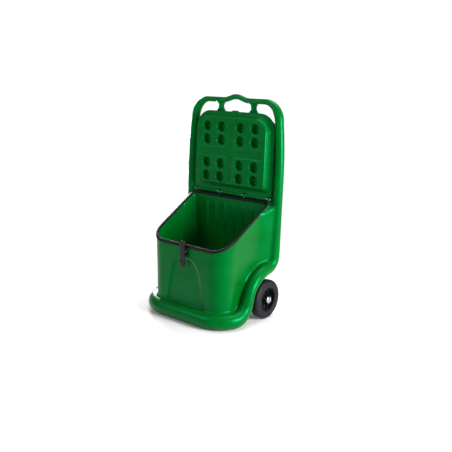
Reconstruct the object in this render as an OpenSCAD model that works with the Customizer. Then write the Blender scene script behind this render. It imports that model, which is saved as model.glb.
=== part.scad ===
// Two-wheeled lidded caddy cart: a rotomoulded plastic tub, bumper and handle in one,
// with a double-walled lid, a spring catch and two solid-tyred wheels.
// Millimetres, +Z up, front towards -Y. The origin is on the floor, under the middle of the cart.

/* [Tub] */
// Width of the tub over its rim
tub_w = 500; // [420:1:600]
// Length of the rim from back to front, along its slope
rim_len = 402; // [340:1:480]
// Slope of the rim, falling towards the front
rim_slope = 27.9; // [15:0.1:34]
// Height of the rim at its back edge
rim_back_z = 575; // [500:1:660]
// Distance of the rim's back edge behind the origin
rim_back_y = 169; // [140:1:200]
// Wall of the tub
wall = 5; // [4:0.5:9]
// How much narrower the tub is at each side of its floor
side_draft = 14; // [5:1:30]
// How far the floor's front edge stands ahead of the rim's front edge
front_kick = 10; // [0:1:20]
// Underside of the floor above the ground
floor_z = 14; // [8:1:30]
// Corner radius at the front of the rim
front_corner = 92; // [50:1:110]
// Corner radius at the back of the rim
back_corner = 18; // [10:1:40]

/* [Front arch] */
// Half width of the arch where its sides would meet the ground
arch_foot = 142; // [110:1:160]
// Radius of the arch's round top
arch_r = 88; // [60:1:110]
// Height of the arch's top
arch_top = 330; // [280:1:350]
// Depth of the arch recess
arch_depth = 8; // [4:0.5:12]

/* [Bumper and handle] */
// Radius of the bumper roll along the ground
roll_r = 40; // [30:1:48]
// Half width over the bumper's sides
roll_half_w = 310; // [270:1:360]
// Gap that the tub's front leaves to the bumper's outer face
roll_reach = 47; // [42:1:70]
// Corner radius of the bumper's centre line
roll_corner = 130; // [70:1:150]
// Radius of the roll where it climbs over the wheel
climb_r = 33; // [26:1:38]
// Radius of the posts
post_r = 22.5; // [18:0.5:28]
// Backward lean of the posts and the back panel
lean = 3.3; // [0:0.1:8]
// Height of the handle's shoulders
handle_z = 1080; // [950:1:1200]
// Rise of the handle's middle above its shoulders
brow = 18; // [0:1:30]
// Radius of the grip bar
grip_r = 13.5; // [11:0.5:18]
// Distance of the handle's struts from the middle
strut_x = 105; // [80:1:130]
// Radius of the struts
strut_r = 14; // [11:0.5:16]
// Wall of the hollow bumper and posts
tube_wall = 4; // [3:0.5:7]

/* [Back panel] */
// Height of the panel's top edge
panel_top = 1008; // [900:1:1060]
// Thickness of the back panel
panel_t = 22; // [16:1:30]
// Wall of the hollow back panel
panel_wall = 4; // [3:0.5:6]

/* [Lid] */
// Half width of the lid's flange
lid_half_w = 253; // [210:0.5:300]
// Length of the lid from its hinge axis to its free edge
lid_len = 422; // [360:1:500]
// Thickness of the lid's flange
lid_flange = 10.5; // [6:0.5:14]
// Depth of the lid's plug below its flange
plug_depth = 32; // [20:1:36]
// Distance from the flange's edge to the plug
plug_inset = 25; // [20:1:40]
// Wall of the double-walled lid
lid_wall = 4; // [3:0.5:6]
// Mouth diameter of the dimples
dimple_d = 54; // [30:1:56]
// Pitch of the dimples across the lid
dimple_pitch = 93; // [60:1:94]
// Width of the shallow cross between the four groups of dimples
cross_w = 51; // [30:1:54]
// Depth of the cross
cross_depth = 4; // [2:0.5:6]
// Length of the striker tab on the lid's free edge
tab_len = 6; // [4:0.5:7]

/* [Hinge] */
// Diameter of the lid's hinge rod
hinge_rod_d = 8; // [6:0.5:10]
// Outer radius of the hinge knuckles
knuckle_r = 8.5; // [7:0.5:10]

/* [Wheels] */
// Diameter of the wheels
wheel_d = 200; // [160:1:240]
// Width of the tyre
tyre_w = 48; // [36:1:60]
// Distance between the middles of the two tyres
track = 582; // [500:1:700]
// Radius where the tyre seats on the hub
rim_r = 62; // [50:1:75]
// Diameter of the axle
axle_d = 20; // [16:1:25]
// Number of spokes in a hub
spokes = 6; // [4:1:10]
// Free gap between the tyre and the arch above it
wheel_gap = 7; // [5:0.5:15]

/* [Catch] */
// Width of the catch's lever
lever_w = 30; // [22:1:40]
// Height of the catch's pivot below the rim's front edge
pivot_drop = 25; // [22:1:35]
// Length of the lever below its pivot
lever_tail = 77; // [60:1:90]

/* [Hidden] */

$fn = 64;
eps = 0.1;          // overlap of cutting solids
seat = 0.3;         // gap between a loose piece and what it lies on
run = 0.05;         // radial running clearance of a pin

// Places that follow from the tub's rim
rim_front_y = rim_back_y - rim_len * cos(rim_slope);
rim_front_z = rim_back_z - rim_len * sin(rim_slope);
wall_front_y = rim_front_y - front_kick;
wall_back_y = rim_back_y - 6;
floor_half_w = tub_w / 2 - side_draft;
loft_top = rim_back_z + 20;             // the drafted walls are drawn up to here, then cut to the rim
loft_front_y = wall_front_y + front_kick * (loft_top - floor_z) / (rim_front_z - floor_z);
function tub_half_w(z) = floor_half_w + side_draft * (z - floor_z) / (loft_top - floor_z);

// Wheels and axle
wheel_r = wheel_d / 2;
wheel_y = 84;
axle_z = wheel_r;
axle_r = axle_d / 2;
arch_clear_r = wheel_r + wheel_gap;
step_y = wheel_y - 48;                  // where the floor steps up ahead of the axle
ledge_z = axle_z;                       // underside of the raised floor, on the axle's centre
raised_top = axle_z + axle_r + 8;       // top of the raised floor
saddle_x = [-150, 0, 150];
saddle_w = 24;
saddle_t = 2.5;
saddle_bolt = 23;                       // distance of a saddle's screws from the axle
saddle_screw_r = 3;
wheel_x = track / 2;
boss_half = tyre_w / 2 - 1;             // half length of the hub's boss
bush_t = 1.8;                           // flange of a bush
bush_r = 13;
washer_t = 1.4;
gap = 0.1;                              // end float between the pieces on the axle
inner_stack = wheel_x - boss_half - bush_t - gap;
outer_stack = wheel_x + boss_half + bush_t + gap;
cap_x = outer_stack + washer_t + gap;
cap_t = 5;
axle_half = cap_x + 3;

// Hinge axis and lid
hinge_y = rim_back_y + 13;
hinge_z = rim_back_z + 13.5;
seal_leg = 6;                           // length of the seal's two legs
seal_lip = 2.5;                         // thickness of the legs
seal_top = 4;                           // thickness of the seal's crown
rim_drop = (hinge_z - rim_back_z) * cos(rim_slope) - (hinge_y - rim_back_y) * sin(rim_slope);
flange_low = rim_drop - seal_top - 2 * seat;   // lid's underside, measured from the hinge axis
lid_start = 11;                         // edge of the flange nearest the hinge axis
plug_start = plug_inset + 9;
plug_face = flange_low + plug_depth;
lid_back = flange_low - lid_flange;     // outer face of the lid, behind the hinge axis
panel_face_y = 1 - lid_back;            // front face of the panel, in the leaning frame
panel_foot = 258;                       // how far the panel reaches below the hinge axis
shelf_low = 250;                        // closed box between tub and panel that carries the hinge
shelf_top = hinge_z - 28.5;
lug_x = [-238, -82, 82, 238];
lug_w = 20;
knuckle_side = [(lug_x[2] + lug_x[3]) / 2, lug_x[3] - lug_x[2] - lug_w - 2];
lid_barrels = [knuckle_side, [0, 2 * lug_x[2] - lug_w - 2], [-knuckle_side[0], knuckle_side[1]]];
nut_t = 2;
nut_r = 8;
rod_r = hinge_rod_d / 2;
rod_half = lug_x[3] + lug_w / 2 + nut_t + 3;

// Pattern on the lid's inner face
cross_z = (lid_start + lid_len) / 2 - 2;
cross_half_w = 208;
cross_half_h = 160;
stem_half_w = 22;
dimple_mid_x = stem_half_w + 39 + dimple_pitch / 2;
dimple_rows = [for (side = [-1, 1], d = [61.5, 130]) cross_z + side * d];
dimple_foot_r = 12;
dimple_depth = plug_face - lid_back - 2 * lid_wall;
vent_r = 2.5;
tab_w = 40;
tab_t = 5.5;

// Handle
grip_z = handle_z - grip_r;
bend_z = grip_z - 101;                  // where the posts start to bend inwards
bend_x = 180;                           // where the bend ends on the grip
sides = 16;                             // sides of a swept tube

// Catch, measured outwards from the front wall
kick = atan(front_kick / (rim_front_z - floor_z));   // lean of the front wall
pivot_out = 10.5;
lever_in = 16.2;                        // inner face of the lever
lever_t = 7;
pin_r = 2.5;
base_t = 3;
base_half_w = 17;
base_low = -54;
base_high = -13;
block_r = 5.2;                          // base's knuckle round the pivot
block_half_w = 6;
cheek_r = 6;                            // lever's cheeks round the pivot
cheek_w = 4;
catch_screw_r = 1.75;
catch_screws = [for (x = [-12, 12], z = [base_high - 4, base_low + 6]) [x, z]];
lever_hole_r = 4;
lever_hole_up = 30;
spring_wire_r = 0.7;
spring_r = 4.2;

function norm3(v) = v / norm(v);
function smooth(t) = t * t * (3 - 2 * t);

// ---------- The bumper, posts and handle: one closed tube ----------
// A station is [point, direction away from the cart, radius that way, radius across it].

roll_x = roll_half_w - roll_r;
roll_y = wall_front_y - roll_reach + roll_r;
roll_z = roll_r * cos(180 / sides);     // its flat facet lies on the floor
climb_x = roll_half_w - 3.5 - climb_r;
climb_start = wheel_y - 219;            // where the roll leaves the ground
climb_slope = 64;                       // steepest slope of the climb
crest_slope = 5;                        // slope over the wheel
dip_r = 100;                            // radius of the first bend
crest_r = 170;                          // radius of the bend over the wheel
foot_r = 62;                            // radius of the bend into the post
dip_end = [climb_start + dip_r * sin(climb_slope), roll_z + dip_r * (1 - cos(climb_slope))];
climb_len = 60;
rise_end = dip_end + climb_len * [cos(climb_slope), sin(climb_slope)];
crest_end = rise_end + crest_r
    * [sin(climb_slope) - sin(crest_slope), cos(crest_slope) - cos(climb_slope)];

function post_outer(z) = roll_half_w - 17.5 * pow(max(0, (z - 0.648 * handle_z) / 275), 2);

front_run = [for (x = [0, 1]) [[x * (roll_x - roll_corner), roll_y, roll_z], [0, -1, 0], roll_r, roll_r]];
corner_end = roll_y + roll_corner;
function corner_x(y) = roll_x - roll_corner + sqrt(pow(roll_corner, 2) - pow(min(0, y - corner_end), 2));
corner_bend = [for (a = [-80:10:-40])
    [[roll_x - roll_corner + roll_corner * cos(a), corner_end + roll_corner * sin(a), roll_z],
     [cos(a), sin(a), 0], roll_r, roll_r]];
dip = [for (a = [0:8:climb_slope]) let (s = smooth(a / climb_slope), r = roll_r + s * (climb_r - roll_r),
        y = climb_start + dip_r * sin(a))
    [[corner_x(y) + s * (climb_x - roll_x), y, roll_z + dip_r * (1 - cos(a))], [1, 0, 0], r, r]];
crest = [for (i = [0:8]) let (a = climb_slope + (crest_slope - climb_slope) * i / 8)
    [[climb_x, rise_end.x + crest_r * (sin(climb_slope) - sin(a)), rise_end.y + crest_r * (cos(a) - cos(climb_slope))],
     [1, 0, 0], climb_r, climb_r]];
foot = [for (i = [1:7]) let (a = crest_slope + (90 - lean - crest_slope) * i / 7, s = smooth(i / 7),
        r = climb_r + s * (post_r + 3 - climb_r))
    [[roll_half_w - 3.5 * (1 - s) - r, crest_end.x + foot_r * (sin(a) - sin(crest_slope)),
      crest_end.y + foot_r * (cos(crest_slope) - cos(a))], [1, 0, 0], r, r]];
foot_top = foot[6][0];
post = [for (i = [1:8]) let (z = foot_top.z + (bend_z - foot_top.z) * i / 8, r = post_r + 3 * max(0, 1 - i / 2))
    [[post_outer(z) - r, foot_top.y + (z - foot_top.z) * tan(lean), z], [1, 0, 0], r, r]];
top_x = post[7][0].x;
bend = [for (a = [9:9:90]) let (s = smooth(a / 90), r = post_r + s * (grip_r - post_r) + 3 * sin(2 * a),
        z = bend_z + (grip_z - bend_z) * sin(a))
    [[bend_x + (top_x - bend_x) * cos(a), foot_top.y + (z - foot_top.z) * tan(lean), z],
     norm3([cos(a), sin(lean) * sin(a), cos(lean) * sin(a)]), r, r + s * 2]];
grip = [for (x = [140, 80, 60, 45, 30, 15]) let (z = grip_z + brow * pow(cos(90 * min(1, x / 80)), 2))
    [[x, foot_top.y + (z - foot_top.z) * tan(lean), z], [0, 0, 1], grip_r, grip_r + 2]];
grip_mid = [[[0, foot_top.y + (grip_z + brow - foot_top.z) * tan(lean), grip_z + brow], [0, 0, 1], grip_r, grip_r + 2]];

half_loop = concat(front_run, corner_bend, dip, crest, foot, post, bend, grip);
function mirrored(s) = [[-s[0].x, s[0].y, s[0].z], [-s[1].x, s[1].y, s[1].z], s[2], s[3]];
loop = concat(half_loop, grip_mid, [for (i = [len(half_loop) - 1:-1:1]) mirrored(half_loop[i])]);

function ring(i, thinner, sides) =
    let (n = len(loop), s = loop[i],
         t = norm3(loop[(i + 1) % n][0] - loop[(i + n - 1) % n][0]),
         o = norm3(s[1] - (s[1] * t) * t), b = cross(t, o))
    [for (k = [0:sides - 1]) let (a = 360 * (k + 0.5) / sides)
        s[0] + (s[2] - thinner) * cos(a) * o + (s[3] - thinner) * sin(a) * b];

module closed_tube(thinner, sides) {
    n = len(loop);
    points = [for (i = [0:n - 1]) each ring(i, thinner, sides)];
    faces = [for (i = [0:n - 1], k = [0:sides - 1])
        let (j = (i + 1) % n, m = (k + 1) % sides)
        each [[i * sides + k, j * sides + k, i * sides + m], [i * sides + m, j * sides + k, j * sides + m]]];
    polyhedron(points, faces);
}

// ---------- Shared outlines and frames ----------

// Rectangle from [-half_w, 0] to [half_w, -len] with its own radius at each end
module rounded_outline(half_w, len, r_back, r_front) {
    for (x = [-1, 1]) {
        translate([x * (half_w - r_back), -r_back]) circle(r_back);
        translate([x * (half_w - r_front), -len + r_front]) circle(r_front);
    }
    translate([-half_w + r_back, -len / 2]) square([2 * (half_w - r_back), len / 2]);
    translate([-half_w + r_front, -len]) square([2 * (half_w - r_front), len / 2]);
    translate([-half_w, -len + r_front]) square([2 * half_w, len - r_front - r_back]);
}

// Local XY is the rim's plane, with -Y running down to the front
module rim_frame() {
    translate([0, rim_back_y, rim_back_z]) rotate([rim_slope, 0, 0]) children();
}

// Local +Z runs up the open lid and the panel from the hinge axis, and -Y points to the front
module leaning_frame() {
    translate([0, hinge_y, hinge_z]) rotate([-lean, 0, 0]) children();
}

// Extrudes a profile drawn as [y, z] along X, centred on x
module along_x(x, len) {
    translate([x - len / 2, 0, 0]) rotate([90, 0, 90]) linear_extrude(len) children();
}

module rod_x(x, y, z, len, r) {
    translate([x - len / 2, y, z]) rotate([0, 90, 0]) cylinder(h = len, r = r);
}

// ---------- Body moulding ----------

big = 1200;         // larger than the cart, for cutting solids

// The tub's drafted walls, moved inwards by an inset, from the floor to above the rim
module tub_loft(inset) {
    hull() {
        translate([0, wall_back_y - inset, floor_z])
            linear_extrude(eps)
                rounded_outline(floor_half_w - inset, wall_back_y - wall_front_y - 2 * inset,
                                back_corner, front_corner - 12 - inset, $fn = 32);
        translate([0, rim_back_y - inset, loft_top])
            linear_extrude(eps)
                rounded_outline(tub_w / 2 - inset, rim_back_y - loft_front_y - 2 * inset,
                                back_corner, front_corner - inset, $fn = 32);
    }
}

// Everything up to a given height above the rim's plane
module below_rim(height) {
    rim_frame() translate([-big / 2, -big, -big]) cube([big, 2 * big, big + height]);
}

// Local XZ lies on the front wall, with Z up it from the rim and -Y outwards
module wall_frame() {
    translate([0, rim_front_y, rim_front_z]) rotate([-kick, 0, 0]) children();
}

// Block that reaches a given depth behind the front wall, in the shape of the arch
module arch_block(grow, depth) {
    peak = arch_top - rim_front_z;
    wall_frame()
        translate([0, depth, 0])
            rotate([90, 0, 0])
                linear_extrude(60) {
                    translate([0, peak - arch_r]) circle(arch_r + grow);
                    polygon([[-arch_foot - grow, -rim_front_z], [arch_foot + grow, -rim_front_z],
                             [arch_r + grow - 1, peak - arch_r + 14], [-arch_r - grow + 1, peak - arch_r + 14]]);
                }
}

module wheel_arches(r) {
    for (x = [-1, 1])
        rod_x(x * (tub_w / 2 + 58), wheel_y, axle_z, 100, r);
}

module bumper_and_handle() {
    difference() {
        closed_tube(0, sides);
        wheel_arches(arch_clear_r);
    }
}

module tub_outside() {
    difference() {
        intersection() {
            tub_loft(0);
            below_rim(0);
        }
        arch_block(0, arch_depth);
        translate([-big / 2, step_y, -eps]) cube([big, big, ledge_z + eps]);
    }
}

module tub_inside() {
    difference() {
        tub_loft(wall);
        arch_block(wall, arch_depth + wall);
        translate([-big / 2, -big, 0]) cube([big, 2 * big, floor_z + wall]);
        translate([-big / 2, step_y - wall, 0]) cube([big, big, raised_top]);
    }
}

// The panel's outline in its own plane, with its top edge falling away at both sides
module panel_outline(inset) {
    half_w = roll_half_w - 30 - inset;
    top = (panel_top - hinge_z) / cos(lean) - inset;
    drop_r = 218;
    flat_w = 120;
    bottom = -panel_foot + inset;
    translate([-flat_w, bottom]) square([2 * flat_w, top - bottom]);
    translate([-half_w, bottom]) square([2 * half_w, top - 60 - bottom]);
    intersection() {
        for (x = [-1, 1]) translate([x * flat_w, top - drop_r]) circle(drop_r, $fn = 96);
        translate([-half_w, bottom]) square([2 * half_w, top - bottom]);
    }
}

module panel_plate(inset, thinner) {
    leaning_frame()
        translate([0, panel_face_y + panel_t - thinner, 0])
            rotate([90, 0, 0])
                linear_extrude(panel_t - 2 * thinner)
                    panel_outline(inset);
}

// The closed box between the tub's back wall and the panel
module shelf(inset) {
    back = hinge_y + panel_face_y;
    along_x(0, 2 * (tub_w / 2 + 12 - inset))
        polygon([[wall_back_y - 3 + 1.5 * inset, shelf_low + inset], [back - 12 - inset / 2, shelf_low + inset],
                 [back - inset / 2, shelf_top - inset], [wall_back_y - 3 + 1.5 * inset, shelf_top - inset]]);
}

// Webs that close the corners between the tub's sides and the posts
module side_webs() {
    start = tub_half_w(shelf_low);
    reach = roll_half_w - 28;
    intersection() {
        for (x = [-1, 1])
            translate([0, 0, shelf_low - 10])
                linear_extrude(rim_back_z - shelf_low)
                    polygon([[x * (start - 8), wheel_y + 6], [x * (start + 1), wheel_y + 6], [x * reach, wheel_y + 78],
                             [x * reach, wheel_y + 96], [x * (start - 8), wheel_y + 96]]);
        below_rim(-seal_leg - 5);
    }
}

module hinge_lugs() {
    lug_depth = 2 * knuckle_r - 2.5;
    for (x = lug_x)
        along_x(x, lug_w) {
            translate([hinge_y, hinge_z]) circle(knuckle_r);
            translate([hinge_y + knuckle_r - lug_depth, shelf_top - 4]) square([lug_depth, hinge_z - shelf_top + 4]);
        }
}

// Two short struts that carry the grip, flared where they leave the panel
module handle_struts() {
    top = (panel_top - hinge_z) / cos(lean);
    strut_y = panel_face_y + panel_t / 2 - 2;
    difference() {
        leaning_frame()
            for (x = [-strut_x, strut_x])
                translate([x, strut_y, top - 20]) {
                    cylinder(h = (grip_z - panel_top) / cos(lean) + 20, r = strut_r);
                    translate([0, panel_t / 2, 0])
                        rotate([90, 0, 0])
                            linear_extrude(panel_t)
                                polygon([[-strut_r - 14, 0], [strut_r + 14, 0], [strut_r + 12, 18],
                                         [strut_r - 1, 36], [1 - strut_r, 36], [-strut_r - 12, 18]]);
                }
        leaning_frame() translate([-big / 2, -big + panel_face_y, 0]) cube([big, big, lid_len + tab_len + 2]);
    }
}

module axle_groove() {
    rod_x(0, wheel_y, axle_z, big, axle_d / 2 + run);
}

// Outer skin of the moulding, open at the top. Its curved walls are one closed mesh.
module moulded_skin() {
    $fn = 40;
    resize([0, 0, 0])
        difference() {
            union() {
                bumper_and_handle();
                tub_outside();
                panel_plate(0, 0);
                shelf(0);
                side_webs();
                handle_struts();
            }
            tub_inside();
        }
}

// Hollow of the front roll, and of the posts with the grip
module tube_hollow() {
    $fn = 40;
    resize([0, 0, 0])
        difference() {
            closed_tube(tube_wall, 8);
            tub_loft(0);
            translate([-big / 2, climb_start, -eps]) cube([big, big, foot_top.z + 20 + eps]);
        }
}

module body_moulding() {
    color("green")
        difference() {
            union() {
                moulded_skin();
                hinge_lugs();
            }
            tube_hollow();
            panel_plate(40, panel_wall);
            shelf(wall);
            axle_groove();
            rod_x(0, hinge_y, hinge_z, 2 * rod_half, rod_r + run);
            saddle_places() translate([0, 0, -eps]) cylinder(h = 14, r = saddle_screw_r + run);
            wall_frame()
                for (p = catch_screws)
                    translate([p.x, -eps, p.y]) rotate([-90, 0, 0]) cylinder(h = 20, r = catch_screw_r + run);
        }
}

// ---------- Lid ----------

// A prism of the lid, from one depth to another below the hinge axis, with Z up the open lid
module lid_prism(from, to, inset, r_low, r_top) {
    leaning_frame()
        translate([0, -from, 0])
            rotate([90, 0, 0])
                linear_extrude(to - from)
                    translate([0, lid_len - inset])
                        rounded_outline(lid_half_w - inset, lid_len - lid_start - 2 * inset, r_top, r_low);
}

module dimple_places() {
    leaning_frame()
        for (x = [-dimple_mid_x, dimple_mid_x], dx = [-dimple_pitch / 2, dimple_pitch / 2], z = dimple_rows)
            translate([x + dx, -plug_face, z]) rotate([-90, 0, 0]) children();
}

module lid_cross(grow, depth) {
    leaning_frame()
        translate([0, -plug_face + depth, 0])
            rotate([90, 0, 0])
                linear_extrude(depth + 1) {
                    translate([-cross_half_w - grow, cross_z - cross_w / 2 - grow])
                        square([2 * (cross_half_w + grow), cross_w + 2 * grow]);
                    translate([-stem_half_w - grow, cross_z - cross_half_h - grow])
                        square(2 * [stem_half_w + grow, cross_half_h + grow]);
                }
}

module lid_knuckles() {
    leaning_frame()
        for (b = lid_barrels)
            along_x(b[0], b[1]) {
                circle(knuckle_r);
                translate([-flange_low, 0]) square([lid_flange - 1, lid_start + 6]);
            }
}

module lid() {
    color("green")
        difference() {
            union() {
                lid_prism(lid_back, flange_low, 0, 10, 92);
                lid_prism(flange_low - eps, flange_low + 6, plug_inset - 7, 16, 92);
                lid_prism(flange_low, plug_face - 8, plug_inset, 22, 68);
                lid_prism(plug_face - 9, plug_face, plug_inset + 6, 18, 62);
                lid_knuckles();
                leaning_frame() translate([-tab_w / 2, -lid_back - tab_t, lid_len - 4]) cube([tab_w, tab_t, 4 + tab_len]);
            }
            difference() {
                lid_prism(lid_back + lid_wall, plug_face - lid_wall, plug_inset + 6 + lid_wall, 16, 60);
                lid_cross(lid_wall, cross_depth + lid_wall);
                dimple_places() cylinder(h = plug_face - lid_back, r1 = dimple_d / 2 + lid_wall, r2 = dimple_foot_r + lid_wall);
            }
            dimple_places() translate([0, 0, -eps]) cylinder(h = dimple_depth + eps, r1 = dimple_d / 2, r2 = dimple_foot_r);
            lid_cross(0, cross_depth);
            leaning_frame() rod_x(0, 0, 0, big, rod_r + run);
            leaning_frame()
                translate([0, -plug_face - 1, cross_z - cross_half_h + 10])
                    rotate([-90, 0, 0]) cylinder(h = plug_depth / 2, r = vent_r);
        }
}

// Rubber channel pressed over the tub's edge
module rim_seal() {
    color("black")
        difference() {
            intersection() {
                tub_loft(-seal_lip - seat);
                below_rim(seal_top);
                rim_frame() translate([-big / 2, -big, -seal_leg]) cube([big, 2 * big, big]);
            }
            tub_loft(wall + seal_lip + seat);
            intersection() {
                difference() {
                    tub_loft(-seat);
                    tub_loft(wall + seat);
                }
                below_rim(seat);
            }
        }
}

// ---------- Lid hinge ----------

module lid_hinge_rod() {
    color("silver") rod_x(0, hinge_y, hinge_z, 2 * rod_half, rod_r);
}

module hinge_push_nuts() {
    x = lug_x[3] + lug_w / 2 + seat + nut_t / 2;
    color("silver")
        for (side = [-1, 1])
            difference() {
                rod_x(side * x, hinge_y, hinge_z, nut_t, nut_r);
                rod_x(side * x, hinge_y, hinge_z, 2 * nut_t, rod_r + run);
            }
}

// ---------- Catch ----------

module pivot_rod(x, len, r) {
    rod_x(x, -pivot_out, -pivot_drop, len, r);
}

module latch_base() {
    color("black")
        wall_frame()
            difference() {
                union() {
                    translate([-base_half_w, -base_t - run, base_low])
                        cube([2 * base_half_w, base_t, base_high - base_low]);
                    pivot_rod(0, 2 * block_half_w, block_r);
                    translate([-block_half_w, -pivot_out, -pivot_drop - block_r])
                        cube([2 * block_half_w, pivot_out - base_t, 2 * block_r]);
                }
                pivot_rod(0, 40, pin_r + run);
                for (p = catch_screws)
                    translate([p.x, -base_t - 1, p.y]) rotate([-90, 0, 0]) cylinder(h = 10, r = catch_screw_r + run);
            }
}

module latch_screws() {
    head_h = 1.8;
    color("silver")
        wall_frame()
            for (p = catch_screws)
                translate([p.x, -base_t - run - head_h, p.y])
                    rotate([-90, 0, 0]) {
                        cylinder(h = head_h, r = 2 * catch_screw_r);
                        cylinder(h = head_h + base_t + wall, r = catch_screw_r);
                    }
}

// Lever with a bevelled nose that snaps over the lid's striker tab
module latch_lever() {
    tip = 6.7;
    outer = lever_in + lever_t;
    low = -pivot_drop - lever_tail;
    color("black")
        wall_frame()
            difference() {
                union() {
                    along_x(0, lever_w)
                        polygon([[-outer + 2, low], [-lever_in, low], [-lever_in, 9.6], [-tip, 14.6], [-tip, 19],
                                 [-lever_in, 29], [-outer + 5, 29], [-outer, 24], [-outer, low + 2]]);
                    for (x = [-1, 1]) {
                        cheek_x = x * (lever_w - cheek_w) / 2;
                        pivot_rod(cheek_x, cheek_w, cheek_r);
                        translate([cheek_x - cheek_w / 2, -lever_in - 1, -pivot_drop - cheek_r])
                            cube([cheek_w, lever_in - pivot_out + 1, 2 * cheek_r]);
                    }
                }
                pivot_rod(0, 40, pin_r + run);
                translate([0, 0, low + lever_hole_up]) rotate([90, 0, 0]) cylinder(h = 60, r = lever_hole_r);
            }
}

module latch_pin() {
    head_x = lever_w / 2 + 1;
    color("silver")
        wall_frame() {
            pivot_rod(0, 2 * head_x, pin_r);
            for (x = [-head_x, head_x]) pivot_rod(x, 1.4, pin_r + 1.5);
        }
}

// Torsion spring round the pin, with one leg on the base's side and one behind the lever's tail.
// Its coils lie against each other, so they are drawn as a sleeve.
module latch_spring() {
    first = block_half_w + 0.5;
    coil_w = 6 * spring_wire_r;
    inner = spring_r - spring_wire_r;
    color("gray")
        wall_frame()
            translate([0, -pivot_out, -pivot_drop]) {
                difference() {
                    translate([first, 0, 0]) rotate([0, 90, 0]) cylinder(h = coil_w, r = spring_r + spring_wire_r);
                    translate([first - 1, 0, 0]) rotate([0, 90, 0]) cylinder(h = coil_w + 2, r = inner);
                }
                for (leg = [[first, spring_r - spring_wire_r, 9], [first + coil_w - 2 * spring_wire_r, -spring_r - spring_wire_r, 12]])
                    translate([leg.x, leg.y, -leg.z]) cube([2 * spring_wire_r, 2 * spring_wire_r, leg.z]);
            }
}

// ---------- Axle ----------

module saddle_places() {
    for (x = saddle_x, y = [wheel_y - saddle_bolt, wheel_y + saddle_bolt])
        translate([x, y, ledge_z]) children();
}

module axle() {
    color("silver") rod_x(0, wheel_y, axle_z, 2 * axle_half, axle_r);
}

// Straps under the axle, screwed up into the raised floor
module axle_saddles() {
    flange = saddle_bolt + 11;
    color("silver")
        difference() {
            for (x = saddle_x) {
                rod_x(x, wheel_y, axle_z, saddle_w, axle_r + run + saddle_t);
                translate([x - saddle_w / 2, wheel_y - flange, ledge_z - saddle_t]) cube([saddle_w, 2 * flange, saddle_t]);
            }
            rod_x(0, wheel_y, axle_z, big, axle_r + run);
            translate([-big / 2, -big / 2, ledge_z]) cube(big);
            saddle_places() translate([0, 0, -10]) cylinder(h = 20, r = saddle_screw_r + run);
        }
}

module saddle_screws() {
    color("silver")
        saddle_places() {
            translate([0, 0, -saddle_t - 4]) cylinder(h = 4, r = 5);
            translate([0, 0, -saddle_t - 4]) cylinder(h = saddle_t + 16, r = saddle_screw_r);
        }
}

module tube_x(x0, x1, r_in, r_out) {
    difference() {
        rod_x((x0 + x1) / 2, wheel_y, axle_z, abs(x1 - x0), r_out);
        rod_x((x0 + x1) / 2, wheel_y, axle_z, abs(x1 - x0) + 1, r_in);
    }
}

module both_sides() {
    children();
    mirror([1, 0, 0]) children();
}

module axle_spacers() {
    color("black")
        both_sides()
            tube_x(tub_half_w(axle_z + 14) + seat, inner_stack - washer_t - gap, axle_r + run, 14);
}

module axle_washers() {
    color("silver")
        both_sides() {
            tube_x(inner_stack - washer_t, inner_stack, axle_r + run, 16);
            tube_x(outer_stack, outer_stack + washer_t, axle_r + run, 16);
        }
}

// Domed caps pressed on the axle's ends
module axle_caps() {
    cap_r = 18.5;
    color("silver")
        both_sides()
            translate([cap_x, wheel_y, axle_z])
                rotate([0, 90, 0])
                    rotate_extrude()
                        polygon([[axle_r + run, 0], [cap_r, 0], [cap_r, 1.2], [15, 3.4], [10, 4.6], [5, cap_t],
                                 [5, 3.3], [axle_r + run, 3.3]]);
}

// ---------- Wheels ----------

module wheel_turned() {
    translate([wheel_x, wheel_y, axle_z]) rotate([0, 90, 0]) children();
}

module tyre_section() {
    shoulder = 15;
    half = tyre_w / 2;
    translate([rim_r, -half + 2]) square([wheel_r - shoulder - rim_r, tyre_w - 4]);
    translate([rim_r + 6, -half]) square([wheel_r - shoulder - rim_r - 6, tyre_w]);
    translate([rim_r, -half + shoulder]) square([wheel_r - rim_r, tyre_w - 2 * shoulder]);
    for (y = [-1, 1]) translate([wheel_r - shoulder, y * (half - shoulder)]) circle(shoulder);
}

module tyre() {
    color("#202124") wheel_turned() rotate_extrude($fn = 128) tyre_section();
}

module wheel_hub() {
    hub_r = rim_r - run;
    boss_r = 18;
    color("black")
        wheel_turned()
            difference() {
                union() {
                    rotate_extrude($fn = 128) {
                        translate([hub_r - 8, -tyre_w / 2 + 3]) square([8, tyre_w - 6]);
                        translate([boss_r - 5, -3]) square([hub_r - boss_r, 6]);
                    }
                    cylinder(h = 2 * boss_half, r = boss_r, center = true);
                    for (i = [0:spokes - 1])
                        rotate([0, 0, 360 * i / spokes])
                            translate([boss_r - 4, -3, -16]) cube([hub_r - boss_r, 6, 32]);
                }
                cylinder(h = tyre_w, r = bush_r + run, center = true);
            }
}

module wheel_bushes() {
    barrel = 16;
    color("white")
        wheel_turned()
            for (side = [0, 1])
                mirror([0, 0, side])
                    difference() {
                        union() {
                            translate([0, 0, boss_half - barrel]) cylinder(h = barrel, r = bush_r);
                            translate([0, 0, boss_half]) cylinder(h = bush_t, r = 16.5);
                        }
                        cylinder(h = tyre_w, r = axle_r + run);
                    }
}

module right_tyre() { tyre(); }
module left_tyre() { mirror([1, 0, 0]) tyre(); }
module right_wheel_hub() { wheel_hub(); }
module left_wheel_hub() { mirror([1, 0, 0]) wheel_hub(); }
module right_wheel_bushes() { wheel_bushes(); }
module left_wheel_bushes() { mirror([1, 0, 0]) wheel_bushes(); }

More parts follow.
